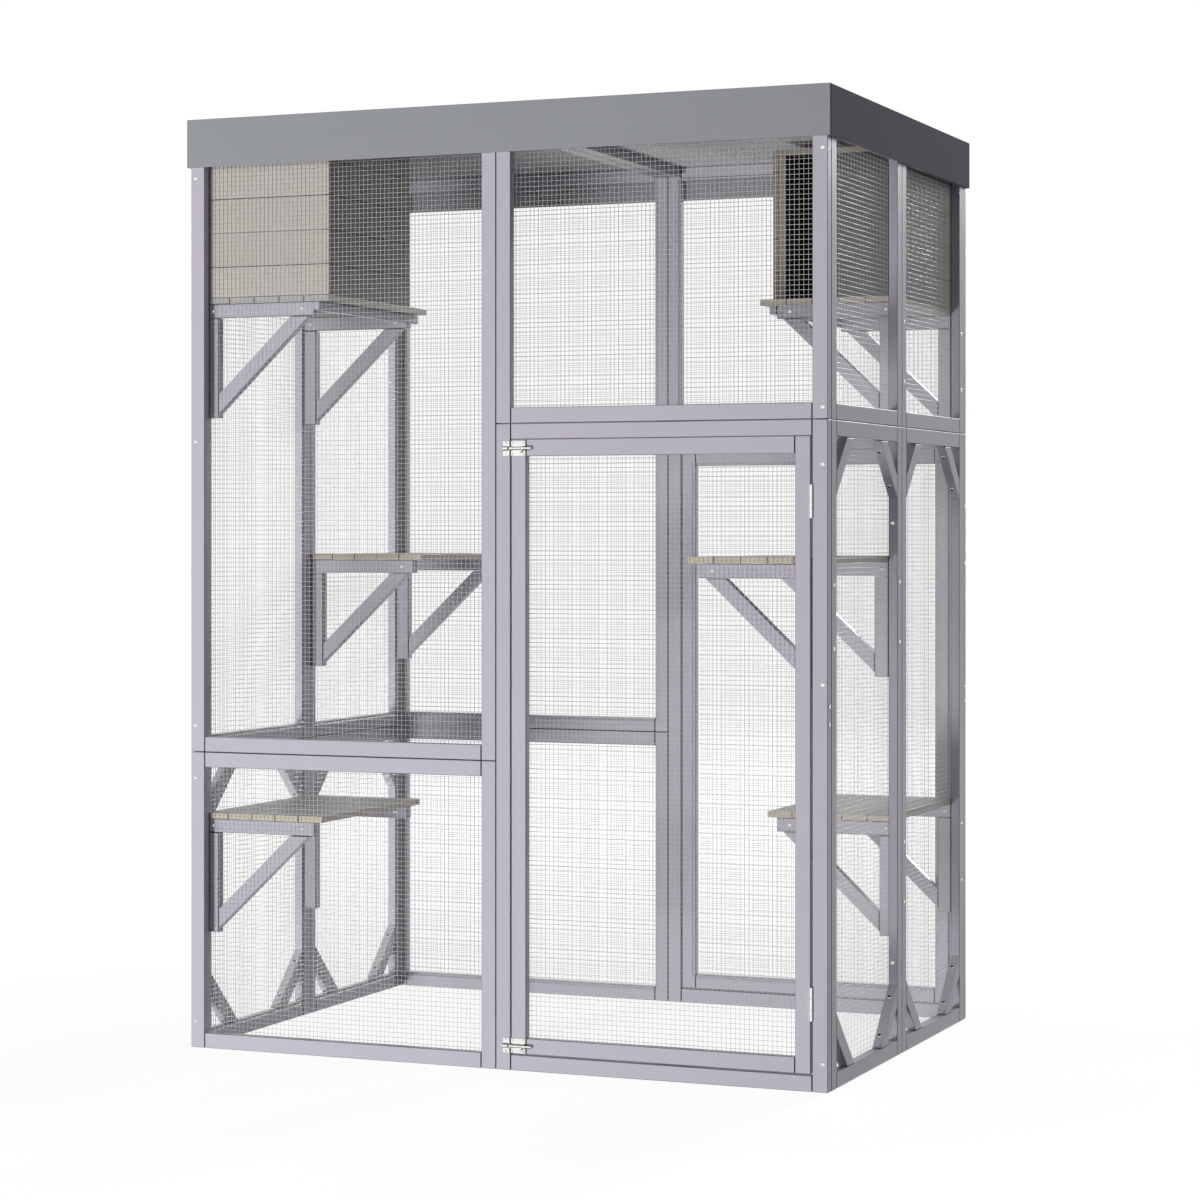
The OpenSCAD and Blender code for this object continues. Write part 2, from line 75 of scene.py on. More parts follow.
# Corners of a CAD mesh nearer than this are one, and so are faces that bend by less than this
MERGE_DISTANCE = 0.01 * MM
FLAT_ANGLE = math.radians(0.5)

# Flat strips that stand in for the round of an edge
EDGE_SEGMENTS = 2

# A face is covered when rays that start this far above it meet a solid within this reach. They start
# at its middle and near its corners, this share of the way from each corner to the middle.
RAY_LIFT = 0.5 * MM
NEIGHBOUR_REACH = 3 * MM
CORNER_INSET = 0.15

# How much of the painted shade of a face in a joint its rounded edge takes, which also dims the edge's
# reflection
SEAM_SHARE = 0.7

# Least and greatest brightness of a board's own tone, and how far its grain may start from the origin
BOARD_TONES = (0.975, 1.02)
GRAIN_REACH = 30

# Noise spots in a metre along, across and through a board
FIBRE_SPOTS = (7, 520, 520)
BAND_SPOTS = (2.2, 70, 70)
CLOUD_SPOTS = (5, 9, 9)

# Brightness of a rounded edge, and painted shade of faces in joints, narrow gaps and nest boxes
ROUNDED_EDGE_BRIGHTNESS = 1.06
PAINTED_SHADE_BRIGHTNESS = 0.08

# Where each lamp stands, its width and height, all in metres, and whether reflections show it
LAMPS = {
    "key": {"place": (-3.2, -6.3, 2.2), "size": (2.0, 2.8), "shine": False},
    "low": {"place": (-2.64, -6.43, -1.86), "size": (2.0, 1.4), "shine": False},
    "side": {"place": (3.4, 0.6, 4.4), "size": (2.2, 2.2), "shine": True},
    "back": {"place": (1.6, 8.6, 4.1), "size": (2.0, 2.2), "shine": True},
    "top": {"place": (0, 0, 5.2), "size": (2.4, 2.4), "shine": True},
}
LAMP_AIM = (0, 0, 0.95)

# How far the floor reaches, and its glow at a near and a far distance from the object, in metres
FLOOR_REACH = 30.0
FLOOR_DISTANCES = (1.2, 3.5)
FLOOR_GLOW = (0.9, 1.0)

# The surroundings as they are seen and as they light the object, and the floor as it lights the
# object and as it takes the shadow
WHITE = (1, 1, 1, 1)
AMBIENT_COLOUR = (0.8, 0.82, 1, 1)
FLOOR_COLOUR = (0.28, 0.3, 0.35, 1)
FLOOR_VEIL = (0.24, 0.24, 0.24, 1)


# Settings

def srgb(red, green, blue):
    """A screen colour with channels from 0 to 255, as the linear colour that a socket takes."""
    def linear(value):
        share = value / 255
        return share / 12.92 if share <= 0.04045 else ((share + 0.055) / 1.055) ** 2.4
    return linear(red), linear(green), linear(blue)


def colour_setting(name, description, red, green, blue):
    """A colour in the panel, given as a screen colour."""
    return FloatVectorProperty(
        name=name, description=description, subtype="COLOR", size=3, min=0, max=1,
        default=srgb(red, green, blue))


def length_setting(name, description, millimetres):
    """A length in the panel."""
    return FloatProperty(
        name=name, description=description, unit="LENGTH", subtype="DISTANCE", min=0,
        default=millimetres * MM)


def share_setting(name, description, share, least=0.0, most=1.0):
    """A share of a whole in the panel."""
    return FloatProperty(
        name=name, description=description, subtype="FACTOR", min=least, max=most, default=share)


def power_setting(name, description, watts):
    """The power of a lamp in the panel."""
    return FloatProperty(name=name, description=description, unit="POWER", min=0, default=watts)


class TimberSettings(bpy.types.PropertyGroup):
    """Painted strips and boards"""

    parting: length_setting("Parting", "How far each strip is drawn in from its neighbours", 0.45)
    plank_parting: length_setting("Plank parting", "How far each plank or board is drawn in", 0.15)
    door_growth: length_setting("Door growth", "Height added at the top of a door to close its gap", 1.8)
    # Painted shade: the roof beams are darkened for the shadow they lie in
    beam_painted_shade: share_setting("Beam shade", "Brightness of the roof beams against the frames", 0.5)
    # Painted shade: the left roof boards are darkened for the shadow that falls on them
    left_deck_painted_shade: share_setting(
        "Left deck shade", "Brightness of the left roof boards against the right ones", 0.62)
    strip_round: length_setting("Strip rounding", "Radius along the edges of the painted strips", 1.1)
    shelf_round: length_setting("Shelf rounding", "Radius along the edges of the shelf planks", 1.0)
    nest_round: length_setting("Nest groove", "Rounding that makes the grooves between nest boards", 0.7)
    roof_round: length_setting("Roof rounding", "Radius along the edges of the decks and the fascia", 0.8)
    paint: colour_setting("Frame paint", "Lavender-grey paint of the frames", 196, 191, 203)
    shelf_face: colour_setting("Shelf face", "Grey face of the shelf planks", 188, 186, 183)
    shelf_edge: colour_setting("Shelf edge", "Cut edge of the shelf planks", 206, 196, 178)
    nest: colour_setting("Nest boards", "Pale boards of the nest boxes", 203, 197, 189)
    nest_end: colour_setting("Nest board ends", "Sawn ends and posts of the nest boxes", 156, 146, 134)
    deck: colour_setting("Roof boards", "Pale underside of the roof decks", 219, 219, 220)
    fascia: colour_setting("Fascia paint", "Blue-grey paint of the fascia", 165, 167, 172)
    felt: colour_setting("Roofing felt", "Mineral face of the roofing felt", 112, 115, 120)


class NetSettings(bpy.types.PropertyGroup):
    """Welded wire nets"""

    pitch: length_setting("Mesh", "Distance between neighbouring wires", 9.0)
    wire: length_setting("Wire", "Diameter of the wires", 0.8)
    weld: length_setting("Weld", "How far crossing wires sink into each other", 0.5)
    sides: IntProperty(name="Wire sides", description="Faces round a wire", default=6, min=3, max=12)
    # Painted shade: the uprights of the side nets are darkened against the cross wires, which catch more
    # light
    painted_wire_shade: share_setting("Upright dullness", "How dull the uprights of the side nets are", 0.1)
    zinc: colour_setting("Zinc", "Colour of the galvanised wire", 202, 202, 201)


class HardwareSettings(bpy.types.PropertyGroup):
    """Hinges, bolts and screws"""

    plate_round: length_setting("Plate rounding", "Radius along the edges of plates and straps", 0.3)
    rod_slimness: share_setting(
        "Rod slimness", "Share by which a bolt is thinned to slide freely in its keeper", 0.025, most=0.5)
    recess_depth: share_setting(
        "Recess depth", "Depth of the cross recess against the head's height", 0.45, least=0.1, most=0.9)
    turn_seed: IntProperty(
        name="Turn seed", description="Seed of the turns of the screw heads", default=7)
    nickel: colour_setting("Nickel", "Colour of the plated hardware", 244, 243, 239)


class StageSettings(bpy.types.PropertyGroup):
    """Lamps and camera"""

    key_power: power_setting("Key lamp", "Power of the lamp in front", 110)
    low_power: power_setting("Low lamp", "Power of the lamp that shines up from below the floor", 355)
    side_power: power_setting("Side lamp", "Power of the lamp at the right", 20)
    back_power: power_setting("Back lamp", "Power of the lamp behind", 365)
    top_power: power_setting("Top lamp", "Power of the lamp above", 34)
    ambient: share_setting("Ambient", "Strength of the light from all round", 0.04)
    lens: FloatProperty(
        name="Lens", description="Focal length on a sensor 36 mm wide", unit="CAMERA", min=1,
        default=91.83)
    camera_place: FloatVectorProperty(
        name="Camera place", description="Where the camera stands", unit="LENGTH", subtype="TRANSLATION",
        default=(2.347, -5.652, 0.999))
    camera_turn: FloatProperty(
        name="Camera turn", description="How far the camera looks to the left of straight back",
        unit="ROTATION", subtype="ANGLE", default=math.radians(22.356))
    camera_shift: FloatProperty(
        name="Camera shift", description="Upward shift of the view as a share of its width",
        default=-0.0561)


# Node trees

def add(tree, kind, inputs=None, **settings):
    """Adds a node, sets its properties, and links or sets each input that is named or numbered."""
    made = tree.nodes.new(kind)
    for name, value in settings.items():
        setattr(made, name, value)
    for key, value in (inputs or {}).items():
        if isinstance(value, bpy.types.NodeSocket):
            tree.links.new(value, made.inputs[key])
        else:
            made.inputs[key].default_value = value
    return made


def calculate(tree, operation, *values):
    """The result of an operation on one or two values."""
    return add(tree, "ShaderNodeMath", dict(enumerate(values)), operation=operation).outputs["Value"]


def times(tree, *factors):
    """The product of two or more values."""
    return functools.reduce(lambda first, second: calculate(tree, "MULTIPLY", first, second), factors)


# Shader nodes

def new_material(name, colour):
    """An empty material, and the node tree to fill."""
    material = bpy.data.materials.new(name)
    material.use_nodes = True
    material.node_tree.nodes.clear()
    material.diffuse_color = (*colour, 1)
    return material, material.node_tree


def finish_material(tree, **sockets):
    """Joins the parts of a finish in one shader and makes it the surface."""
    names = {
        "colour": "Base Color", "roughness": "Roughness", "metallic": "Metallic",
        "normal": "Normal", "specular": "Specular IOR Level"}
    shader = add(
        tree, "ShaderNodeBsdfPrincipled", {names[key]: value for key, value in sockets.items()})
    add(tree, "ShaderNodeOutputMaterial", {"Surface": shader.outputs["BSDF"]})


def attribute(tree, name, output="Fac"):
    """What an attribute of the piece's own mesh holds."""
    return add(tree, "ShaderNodeAttribute", attribute_name=name).outputs[output]


def object_place(tree):
    """The place on the piece in its own coordinates."""
    return add(tree, "ShaderNodeTexCoord").outputs["Object"]


def spread(tree, value, low, high, start=0.0, end=1.0):
    """A value from start to end spread between low and high."""
    ranged = add(tree, "ShaderNodeMapRange", {
        "Value": value, "From Min": start, "From Max": end, "To Min": low, "To Max": high})
    return ranged.outputs["Result"]


def stretched_noise(tree, place, spots, detail=3.0, distortion=0.0):
    """Noise with a number of spots in a metre, given for each direction of place."""
    mapped = add(tree, "ShaderNodeMapping", {"Vector": place, "Scale": spots}).outputs["Vector"]
    return add(tree, "ShaderNodeTexNoise", {
        "Vector": mapped, "Scale": 1.0, "Detail": detail, "Distortion": distortion}).outputs["Fac"]


def shaded(tree, colour, brightness):
    """The colour made lighter or darker by a factor that varies over the surface."""
    return add(tree, "ShaderNodeHueSaturation", {
        "Color": colour, "Value": brightness}).outputs["Color"]


def relief(tree, height, depth, strength):
    """The normal of a surface whose fine relief is as deep as depth."""
    return add(tree, "ShaderNodeBump", {
        "Height": height, "Distance": depth, "Strength": strength}).outputs["Normal"]


# Finishes

def timber_material(name, colour, streak, depth, roughness, sheen=0.2, cut=None):
    """Wood whose fibres follow each board, with its own tone, lighter rounded edges, and painted shade
    without reflection in joints, gaps and nest boxes.
    """
    material, tree = new_material(name, colour)
    place = attribute(tree, "grain", "Vector")
    painted_shade = attribute(tree, "hidden_face")
    fibres = stretched_noise(tree, place, FIBRE_SPOTS, detail=4.0)
    bands = stretched_noise(tree, place, BAND_SPOTS, distortion=0.4)
    clouds = stretched_noise(tree, place, CLOUD_SPOTS, detail=2.0)
    # Painted shade: faces in joints, gaps and nest boxes are darkened, and a painted shade factor rides
    # on the board tint
    brightness = times(
        tree,
        spread(tree, bands, 1 - streak, 1 + streak),
        spread(tree, clouds, 0.97, 1.03),
        spread(tree, fibres, 1 - streak / 2, 1 + streak / 2),
        attribute(tree, "board_tint"),
        spread(tree, attribute(tree, "worn_edge"), 1.0, ROUNDED_EDGE_BRIGHTNESS),
        spread(tree, painted_shade, 1.0, PAINTED_SHADE_BRIGHTNESS))
    base = (*colour, 1)
    if cut:
        sawn = attribute(tree, "cut_face")
        base = add(
            tree, "ShaderNodeMix", {"Factor": sawn, 6: base, 7: (*cut, 1)}, data_type="RGBA").outputs[2]
    # Painted shade also takes away the reflection of those faces
    finish_material(
        tree, colour=shaded(tree, base, brightness),
        roughness=spread(tree, bands, roughness - 0.05, roughness + 0.05),
        normal=relief(tree, fibres, depth, 0.6), specular=spread(tree, painted_shade, sheen, 0.0))
    return material


def felt_material(name, colour):
    """Roofing felt with mineral grains."""
    material, tree = new_material(name, colour)
    place = object_place(tree)
    grains = add(tree, "ShaderNodeTexVoronoi", {"Vector": place, "Scale": 620.0})
    patches = stretched_noise(tree, place, (6, 6, 6), detail=4.0)
    tone = add(tree, "ShaderNodeSeparateColor", {"Color": grains.outputs["Color"]}).outputs["Red"]
    brightness = times(tree, spread(tree, tone, 0.72, 1.3), spread(tree, patches, 0.92, 1.08))
    finish_material(
        tree, colour=shaded(tree, (*colour, 1), brightness), roughness=0.92,
        normal=relief(tree, grains.outputs["Distance"], 0.6 * MM, 0.8), specular=0.2)
    return material


def zinc_material(name, colour):
    """Galvanised wire: a light metal with cloudy spangles, and painted shade on the uprights of the side
    nets.
    """
    material, tree = new_material(name, colour)
    spangle = stretched_noise(tree, object_place(tree), (120, 120, 120))
    # The painted shade of the side nets' uprights
    brightness = times(
        tree, spread(tree, spangle, 0.93, 1.06), spread(tree, attribute(tree, "dull"), 1.0, 0.3))
    finish_material(
        tree, colour=shaded(tree, (*colour, 1), brightness), metallic=0.8,
        roughness=spread(tree, spangle, 0.3, 0.4), normal=relief(tree, spangle, 0.05 * MM, 0.4))
    return material


def nickel_material(name, colour):
    """Bright nickel plate with fine polishing lines, and painted shade on faces that point up and down.
    """
    material, tree = new_material(name, colour)
    place = object_place(tree)
    lines = stretched_noise(tree, place, (90, 900, 1600), detail=2.0)
    smudges = stretched_noise(tree, place, (160, 160, 160))
    # Painted shade: faces that point up and down are darkened nearly to black, for the shade beside the
    # bolt rods
    normal = add(tree, "ShaderNodeNewGeometry").outputs["Normal"]
    facing = add(tree, "ShaderNodeSeparateXYZ", {"Vector": normal}).outputs["Z"]
    level = calculate(tree, "ABSOLUTE", facing)
    brightness = times(
        tree, spread(tree, smudges, 0.92, 1.05), spread(tree, level, 1.0, 0.04, start=0.35, end=0.7))
    finish_material(
        tree, colour=shaded(tree, (*colour, 1), brightness), metallic=1.0,
        roughness=spread(tree, smudges, 0.16, 0.32), normal=relief(tree, lines, 0.04 * MM, 0.4))
    return material


def material_for(slot):
    """The finish of one of the record's material slots, made once."""
    name = slot + "_finish"
    if name in bpy.data.materials:
        return bpy.data.materials[name]
    timber = bpy.context.scene.catio_timber
    makers = {
        "frame_paint": lambda: timber_material(
            name, timber.paint, streak=0.022, depth=0.1 * MM, roughness=0.32, sheen=0.62),
        "shelf_board": lambda: timber_material(
            name, timber.shelf_face, streak=0.07, depth=0.2 * MM, roughness=0.42, sheen=0.4,
            cut=timber.shelf_edge),
        "roof_board": lambda: timber_material(
            name, timber.deck, streak=0.03, depth=0.1 * MM, roughness=0.6),
        "nest_board": lambda: timber_material(
            name, timber.nest, streak=0.035, depth=0.2 * MM, roughness=0.8, sheen=0.0,
            cut=timber.nest_end),
        "fascia_paint": lambda: timber_material(
            name, timber.fascia, streak=0.012, depth=0.05 * MM, roughness=0.8, sheen=0.0),
        "roof_felt": lambda: felt_material(name, timber.felt),
        "net_wire": lambda: zinc_material(name, bpy.context.scene.catio_nets.zinc),
        "nickel_hardware": lambda: nickel_material(name, bpy.context.scene.catio_hardware.nickel),
    }
    return makers[slot]()


# CAD nodes

def slot_of(node):
    """The material slot that the record gives a node."""
    return next(part["material_slot"] for part in frame["record"]["subparts"] if part["node"] == node)


def body_of(node):
    """The body that a node moves with."""
    bodies = frame["record"]["behaviour"]["bodies"]
    return next(body for body, nodes in bodies.items() if node in nodes)


@functools.cache
def solids_tree(body):
    """The CAD solids of one body without the screws and the open nets, for rays."""
    shape = bmesh.new()
    for name, cad in frame["nodes"].items():
        if body_of(name) == body and not name.endswith(("screws", "nets", "net")):
            shape.from_mesh(cad.data)
    tree = BVHTree.FromBMesh(shape)
    shape.free()
    return tree


def merged_copy(node):
    """The node's solids as a new mesh, with loose triangles joined into whole faces."""
    shape = bmesh.new()
    shape.from_mesh(frame["nodes"][node].data)
    bmesh.ops.remove_doubles(shape, verts=shape.verts, dist=MERGE_DISTANCE)
    bmesh.ops.dissolve_limit(shape, angle_limit=FLAT_ANGLE, verts=shape.verts, edges=shape.edges)
    return shape


# Meshes

def solids(shape):
    """The vertices of each separate solid of a mesh."""
    seen, groups = set(), []
    for start in shape.verts:
        if start in seen:
            continue
        seen.add(start)
        group, waiting = [], [start]
        while waiting:
            vertex = waiting.pop()
            group.append(vertex)
            for edge in vertex.link_edges:
                other = edge.other_vert(vertex)
                if other not in seen:
                    seen.add(other)
                    waiting.append(other)
        groups.append(group)
    return groups


def extent(vertices):
    """Middle and size of the box round some vertices."""
    axes = [[vertex.co[axis] for vertex in vertices] for axis in range(3)]
    low = Vector([min(values) for values in axes])
    high = Vector([max(values) for values in axes])
    return (low + high) / 2, high - low


def squeeze(vertices, axis, middle, factor):
    """Scales the distance of vertices from the middle along one axis."""
    for vertex in vertices:
        vertex.co[axis] = middle + (vertex.co[axis] - middle) * factor


def draw_in(shape, distance):
    """Makes each board a little narrower and shorter, so that a seam opens beside its neighbours: a real
    gap, made darker by painted shade on the faces in it.
    """
    for board in solids(shape):
        middle, size = extent(board)
        thin = min(range(3), key=lambda axis: size[axis])
        for axis in range(3):
            if axis != thin:
                squeeze(board, axis, middle[axis], 1 - 2 * distance / size[axis])


def raise_top(shape, distance):
    """Makes a door taller, so that no light shows above it."""
    top = max(vertex.co.z for vertex in shape.verts)
    for vertex in shape.verts:
        if vertex.co.z > top - MM:
            vertex.co.z += distance


def slim_rod(shape, share):
    """Makes a bolt thinner about the axis of its rod, so that it slides freely in its keeper."""
    end = min(vertex.co.x for vertex in shape.verts)
    middle, _ = extent([vertex for vertex in shape.verts if vertex.co.x < end + 0.1 * MM])
    for axis in (1, 2):
        squeeze(shape.verts, axis, middle[axis], 1 - share)


def round_edges(shape, radius, least_angle=25):
    """Rounds the sharp edges and returns the faces that this makes."""
    sharp = [edge for edge in shape.edges if edge.calc_face_angle(0) > math.radians(least_angle)]
    made = bmesh.ops.bevel(
        shape, geom=sharp, offset=radius, offset_type="OFFSET", segments=EDGE_SEGMENTS,
        profile=0.5, affect="EDGES", clamp_overlap=True)
    return made["faces"]


def lay_grain(shape, chance, painted_shade_factor):
    """Gives each board its own coordinates along and across the fibres, and its own tone times a painted
    shade factor.
    """
    grain = shape.verts.layers.float_vector.new("grain")
    tint = shape.verts.layers.float.new("board_tint")
    for board in solids(shape):
        edges = {edge for vertex in board for edge in vertex.link_edges}
        longest = max(edges, key=lambda edge: edge.calc_length())
        along = (longest.verts[1].co - longest.verts[0].co).normalized()
        upright = Vector((0, 0, 1)) if abs(along.z) < 0.9 else Vector((1, 0, 0))
        across = along.cross(upright).normalized()
        through = along.cross(across)
        start = Vector([chance.uniform(0, GRAIN_REACH) for _ in range(3)])
        tone = painted_shade_factor * chance.uniform(*BOARD_TONES)
        for vertex in board:
            vertex[grain] = start + Vector((vertex.co @ along, vertex.co @ across, vertex.co @ through))
            vertex[tint] = tone


def is_covered(face, body):
    """Whether other solids of the same body lie against the whole of a face, or close to it."""
    middle = face.calc_center_median()
    for place in [middle] + [vertex.co.lerp(middle, CORNER_INSET) for vertex in face.verts]:
        start = place + face.normal * RAY_LIFT
        _, normal, _, distance = solids_tree(body).ray_cast(start, face.normal)
        # A ray that starts inside a solid meets its far side from within, at any distance
        if distance is None or (distance > NEIGHBOUR_REACH and normal.dot(face.normal) < 0):
            return False
    return True


def no_face(face):
    """The answer for a piece that has no such face."""
    return False


# Finished pieces

def add_piece(name, shape, slot, body, *replaced, smooth_angle=None):
    """Turns a shape into a finished piece that rides on a body and stands for CAD nodes."""
    mesh = bpy.data.meshes.new(name)
    shape.to_mesh(mesh)
    shape.free()
    add_mesh_piece(name, mesh, slot, body, *replaced, smooth_angle=smooth_angle)


def add_mesh_piece(name, mesh, slot, body, *replaced, smooth_angle=None):
    """Turns a mesh into a finished piece, smooth except at edges sharper than an angle in degrees."""
    mesh.materials.clear()
    mesh.materials.append(material_for(slot))
    if smooth_angle:
        mesh.shade_smooth()
        mesh.set_sharp_from_angle(angle=math.radians(smooth_angle))
    piece = bpy.data.objects.new(name, mesh)
    bpy.context.scene.collection.objects.link(piece)
    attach(piece, body)
    if replaced:
        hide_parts(*replaced)


def dress_boards(node, radius, parting, is_sawn=no_face, is_inner=no_face, growth=0.0, painted_shade_factor=1.0):
    """Replaces a node of boards by the same boards with rounded edges, seams with painted shade, and
    fibres.

    Sawn faces take the colour of the cut. Faces in joints and narrow gaps, inner faces and the rounded
    edges beside them get painted shade, and a painted shade factor darkens the whole node.
    """
    body = body_of(node)
    shape = merged_copy(node)
    draw_in(shape, parting)
    if growth:
        raise_top(shape, growth)
    edge_mark = shape.faces.layers.float.new("worn_edge")
    sawn = shape.faces.layers.float.new("cut_face")
    painted_shade = shape.faces.layers.float.new("hidden_face")
    rounded = round_edges(shape, radius)
    # Faces in joints, narrow gaps and nest boxes get painted shade
    shaded_faces = {face for face in shape.faces if is_inner(face) or is_covered(face, body)}
    for face in shape.faces:
        face[sawn] = float(is_sawn(face))
        face[painted_shade] = float(face in shaded_faces)
    # Rounded edges are drawn a little lighter
    for face in rounded:
        face[edge_mark] = 1.0
        # A rounded edge beside a shaded face takes part of its painted shade
        if any(other in shaded_faces for edge in face.edges for other in edge.link_faces):
            face[painted_shade] = SEAM_SHARE
    lay_grain(shape, random.Random(node), painted_shade_factor)
    add_piece(node + "_boards", shape, slot_of(node), body, node)


def dress_metal(node, radius, slimness=0.0):
    """Replaces a plated node by the same shape with broken edges."""
    shape = merged_copy(node)
    if slimness:
        slim_rod(shape, slimness)
    round_edges(shape, radius, least_angle=40)
    add_piece(node + "_plated", shape, slot_of(node), body_of(node), node, smooth_angle=32)


# Geometry Nodes

def new_tree(name, inputs):
    """A Geometry Nodes tree with named inputs, given as name and socket type."""
    tree = bpy.data.node_groups.new(name, "GeometryNodeTree")
    tree.interface.new_socket(name="Geometry", in_out="INPUT", socket_type="NodeSocketGeometry")
    for label, kind in inputs.items():
        tree.interface.new_socket(name=label, in_out="INPUT", socket_type="NodeSocket" + kind)
    tree.interface.new_socket(name="Geometry", in_out="OUTPUT", socket_type="NodeSocketGeometry")
    return tree, tree.nodes.new("NodeGroupInput").outputs


def finish_tree(tree, geometry, material):
    """Makes the geometry real, gives it its material and sends it to the tree's output."""
    real = add(tree, "GeometryNodeRealizeInstances", {"Geometry": geometry}).outputs["Geometry"]
    painted = add(tree, "GeometryNodeSetMaterial", {"Geometry": real, "Material": material})
    output = tree.nodes.new("NodeGroupOutput")
    tree.links.new(painted.outputs["Geometry"], output.inputs[0])


def run_tree(tree, mesh, values):
    """Runs a tree on a mesh with the values of its named inputs, and returns the plain result."""
    carrier = bpy.data.objects.new("carrier", mesh)
    bpy.context.scene.collection.objects.link(carrier)
    modifier = carrier.modifiers.new("shape", "NODES")
    modifier.node_group = tree
    for item in tree.interface.items_tree:
        if item.item_type == "SOCKET" and item.in_out == "INPUT" and item.name in values:
            modifier[item.identifier] = values[item.name]
    graph = bpy.context.evaluated_depsgraph_get()
    result = bpy.data.meshes.new_from_object(carrier.evaluated_get(graph))
    carrier.modifiers.remove(modifier)
    bpy.data.objects.remove(carrier)
    return result


def vector(tree, axis, value):
    """A vector along one axis."""
    return add(tree, "ShaderNodeCombineXYZ", {axis: value}).outputs["Vector"]


def wire_rows(tree, given, across, along, turn, level, painted_wire_shade):
    """Parallel wires in one plane: spread over the net's size across, each as long as its size along."""
    steps = calculate(tree, "ROUND", calculate(tree, "DIVIDE", across, given["Mesh"]))
    span = calculate(tree, "SUBTRACT", across, given["Wire"])
    line = add(tree, "GeometryNodeMeshLine", {
        "Count": calculate(tree, "ADD", steps, 1.0),
        "Start Location": vector(tree, "X", times(tree, span, -0.5)),
        "Offset": vector(tree, "X", calculate(tree, "DIVIDE", span, steps))}, mode="OFFSET")
    rod = add(tree, "GeometryNodeMeshCylinder", {
        "Vertices": given["Sides"], "Radius": times(tree, given["Wire"], 0.5), "Depth": along},
        fill_type="NGON")
    # Each wire carries its row's share of painted shade
    marked = add(tree, "GeometryNodeStoreNamedAttribute", {
        "Geometry": rod.outputs["Mesh"], "Name": "dull", "Value": painted_wire_shade},
        data_type="FLOAT", domain="POINT")
    placed = add(tree, "GeometryNodeInstanceOnPoints", {
        "Points": line.outputs["Mesh"], "Instance": marked.outputs["Geometry"]})
    return add(tree, "GeometryNodeTransform", {
        "Geometry": placed.outputs["Instances"], "Translation": vector(tree, "Y", level),
        "Rotation": turn}).outputs["Geometry"]


def net_tree():
    """A welded net in the XZ plane, centred on the origin: uprights in front of cross wires."""
    tree, given = new_tree("welded_net", {
        "Width": "Float", "Height": "Float", "Mesh": "Float", "Wire": "Float", "Weld": "Float",
        "Sides": "Int", "Upright dullness": "Float", "Material": "Material"})
    apart = calculate(tree, "SUBTRACT", given["Wire"], given["Weld"])
    uprights = wire_rows(
        tree, given, given["Width"], given["Height"], (0, 0, 0), times(tree, apart, -0.5),
        given["Upright dullness"])
    cross_wires = wire_rows(
        tree, given, given["Height"], given["Width"], (0, math.pi / 2, 0), times(tree, apart, 0.5), 0.0)
    joined = tree.nodes.new("GeometryNodeJoinGeometry")
    for row in (uprights, cross_wires):
        tree.links.new(row, joined.inputs[0])
    finish_tree(tree, joined.outputs[0], given["Material"])
    return tree


def stretch_net(tree, node):
    """Replaces a net node by real wires, one sheet for each of its solids."""
    nets = bpy.context.scene.catio_nets
    outline = merged_copy(node)
    whole = bmesh.new()
    for sheet in solids(outline):
        centre, size = extent(sheet)
        faces_x = size.x < size.y
        wires = run_tree(tree, bpy.data.meshes.new("net_seed"), {
            "Width": size.y if faces_x else size.x, "Height": size.z, "Mesh": nets.pitch,
            "Wire": nets.wire, "Weld": nets.weld, "Sides": nets.sides,
            # Only the uprights of the side nets take painted shade
            "Upright dullness": nets.painted_wire_shade if faces_x else 0.0, "Material": material_for("net_wire")})
        outer_is_low = centre.x < 0 if faces_x else centre.y < 0
        turn = (0 if outer_is_low else math.pi) - (math.pi / 2 if faces_x else 0)
        wires.transform(Matrix.Translation(centre) @ Matrix.Rotation(turn, 4, "Z"))
        whole.from_mesh(wires)
        bpy.data.meshes.remove(wires)
    outline.free()
    add_piece(node + "_wires", whole, "net_wire", body_of(node), node, smooth_angle=70)


# Screws

def screw_head(recess_depth):
    """A pan head of unit diameter and unit height, seated at the origin, with a cross recess."""
    sides = 12
    # Radius and height of each ring, from the seat to the top
    outside = ((0.5, 0.0), (0.5, 0.35), (0.40, 0.85), (0.30, 1.0))
    # Length and half the width of the recess's four arms
    arm, waist = 0.24, 0.07
    arm_outline = ((arm, -waist, 0), (arm, waist, 0), (waist, waist, 0))
    shape = bmesh.new()
    angles = [2 * math.pi * k / sides for k in range(sides)]
    rings = [
        [shape.verts.new((radius * math.cos(a), radius * math.sin(a), height)) for a in angles]
        for radius, height in outside]
    cross = []
    for quarter in range(4):
        turn = Matrix.Rotation(quarter * math.pi / 2, 3, "Z")
        cross += [turn @ Vector(point) for point in arm_outline]
    for height in (1.0, 1.0 - recess_depth):
        rings.append([shape.verts.new((point.x, point.y, height)) for point in cross])
    for number, (outer, inner) in enumerate(zip(rings, rings[1:]), start=1):
        # The recess's outline starts one corner before the rings do
        shift = 1 if number == len(outside) else 0
        for k in range(sides):
            n = (k + 1) % sides
            shape.faces.new((
                outer[(k - shift) % sides], outer[(n - shift) % sides], inner[n], inner[k]))
    shape.faces.new(rings[-1])
    shape.faces.new(list(reversed(rings[0])))
    bmesh.ops.recalc_face_normals(shape, faces=shape.faces)
    mesh = bpy.data.meshes.new("screw_head")
    shape.to_mesh(mesh)
    shape.free()
    return mesh


